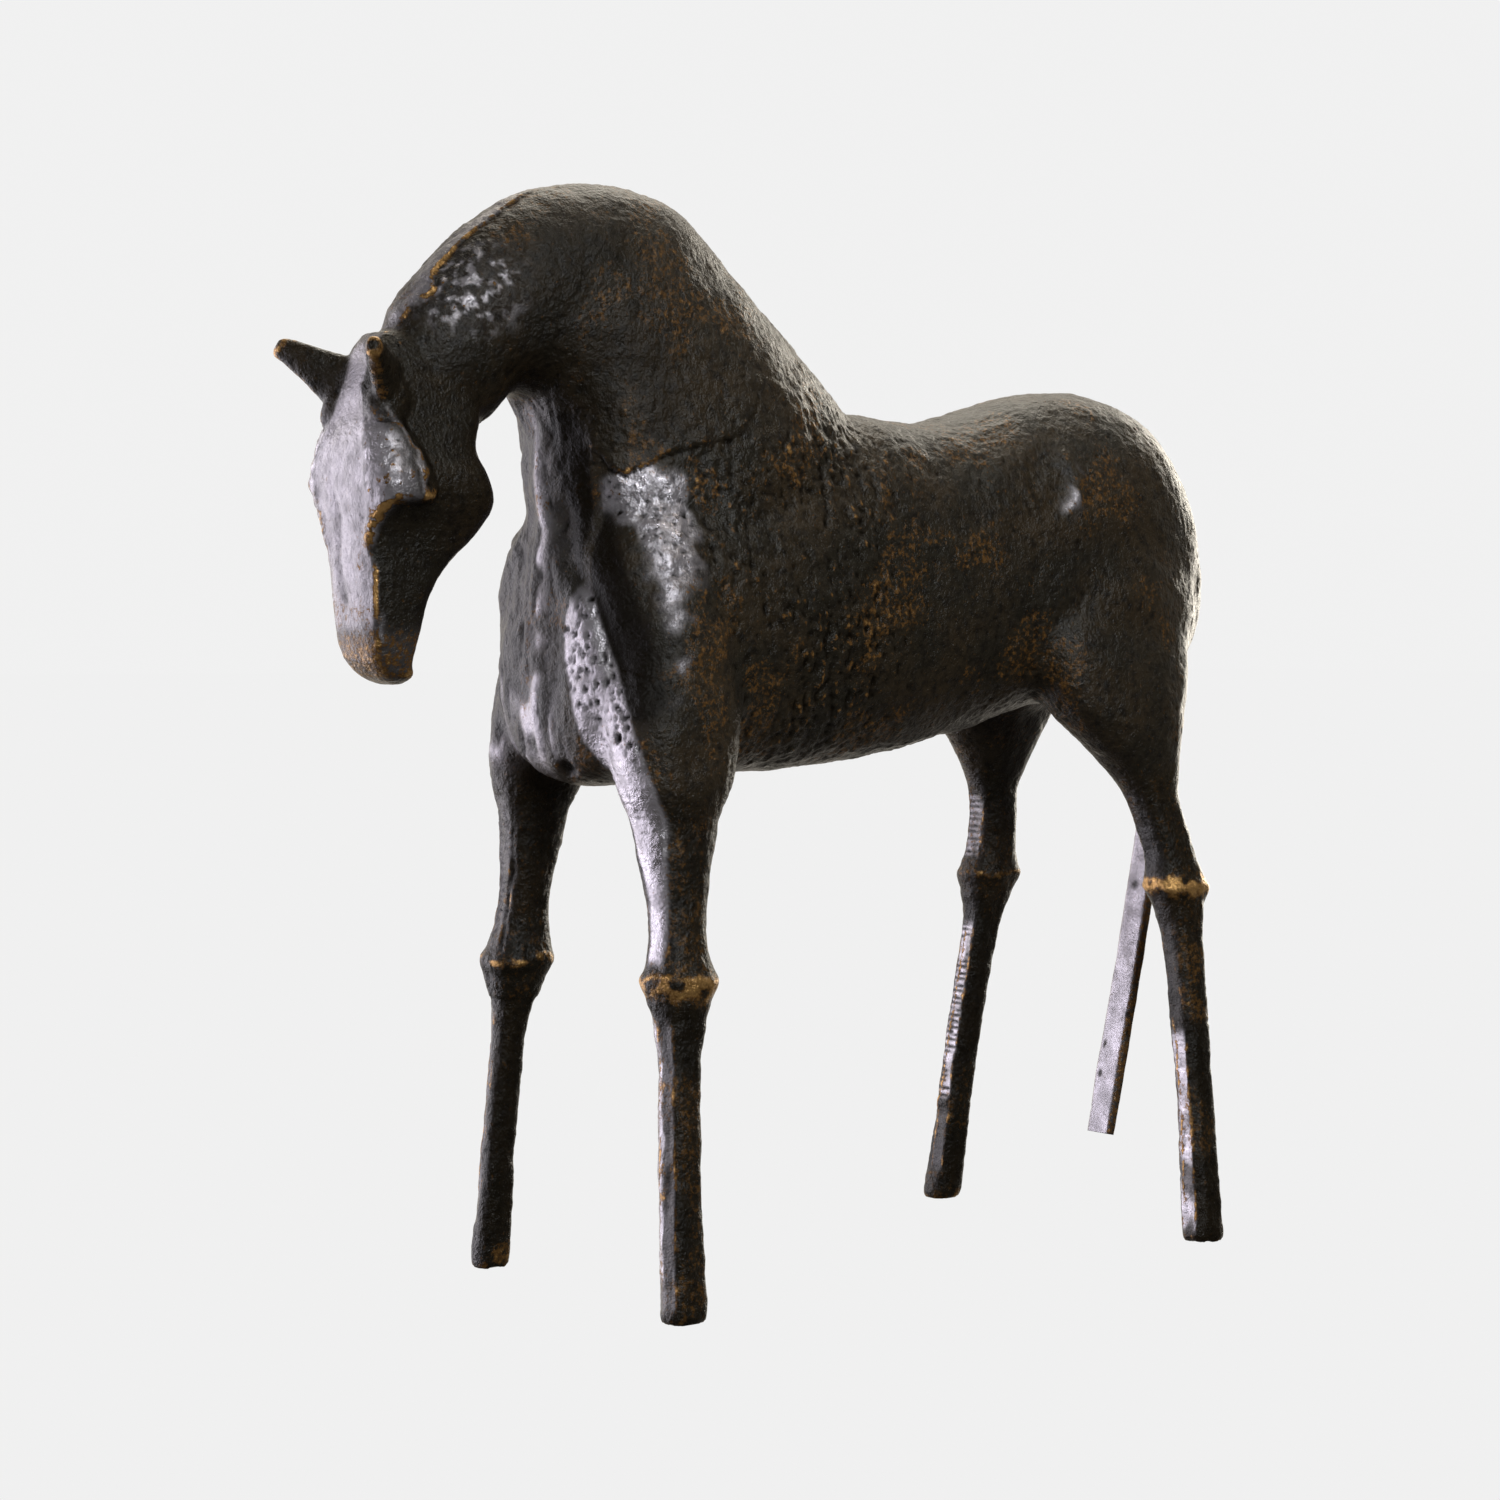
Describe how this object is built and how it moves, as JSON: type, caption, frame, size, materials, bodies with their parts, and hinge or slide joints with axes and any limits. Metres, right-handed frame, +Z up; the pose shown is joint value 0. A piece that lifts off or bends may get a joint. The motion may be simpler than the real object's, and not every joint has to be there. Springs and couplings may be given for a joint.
{
  "type": "bronze horse statuette",
  "caption": "Standing bronze horse with a lowered head, arched neck, long splayed legs and a straight hanging tail, in rough cast dark patina.",
  "frame": {"origin": "on the ground, at the centre of the horse's outline seen from above", "axes": "+Z up, the horse faces -Y and its left side is +X"},
  "size_m": [0.1692, 0.4698, 0.4605],
  "materials": {
    "patina": "dark brown bronze patina, pitted, worn to gold on the edges",
    "bare_bronze": "unpatinated bronze, hidden inside the joints"
  },
  "bodies": {
    "root": {"head_casting": "patina", "neck_casting": "patina", "forequarters_casting": "patina", "hindquarters_casting": "patina", "left_ear": "patina", "right_ear": "patina", "tail_bar": "patina", "left_fore_upper_leg": "patina", "right_fore_upper_leg": "patina", "left_hind_upper_leg": "patina", "right_hind_upper_leg": "patina", "left_fore_cannon": "patina", "right_fore_cannon": "patina", "left_hind_cannon": "patina", "right_hind_cannon": "patina", "left_hind_foot_section": "patina", "core_plug_left_hip": "patina", "core_plug_right_hip": "patina", "core_plug_left_flank": "patina", "core_plug_right_flank": "patina", "core_plug_belly_fore": "patina", "core_plug_belly_hind": "patina", "poll_backing_ring": "bare_bronze", "withers_backing_ring": "bare_bronze", "loin_backing_ring": "bare_bronze", "left_fore_hip_pin": "bare_bronze", "left_fore_knee_pin": "bare_bronze", "right_fore_hip_pin": "bare_bronze", "right_fore_knee_pin": "bare_bronze", "left_hind_hip_pin": "bare_bronze", "left_hind_knee_pin": "bare_bronze", "left_hind_cannon_pin": "bare_bronze", "right_hind_hip_pin": "bare_bronze", "right_hind_knee_pin": "bare_bronze"}
  },
  "joints": []
}
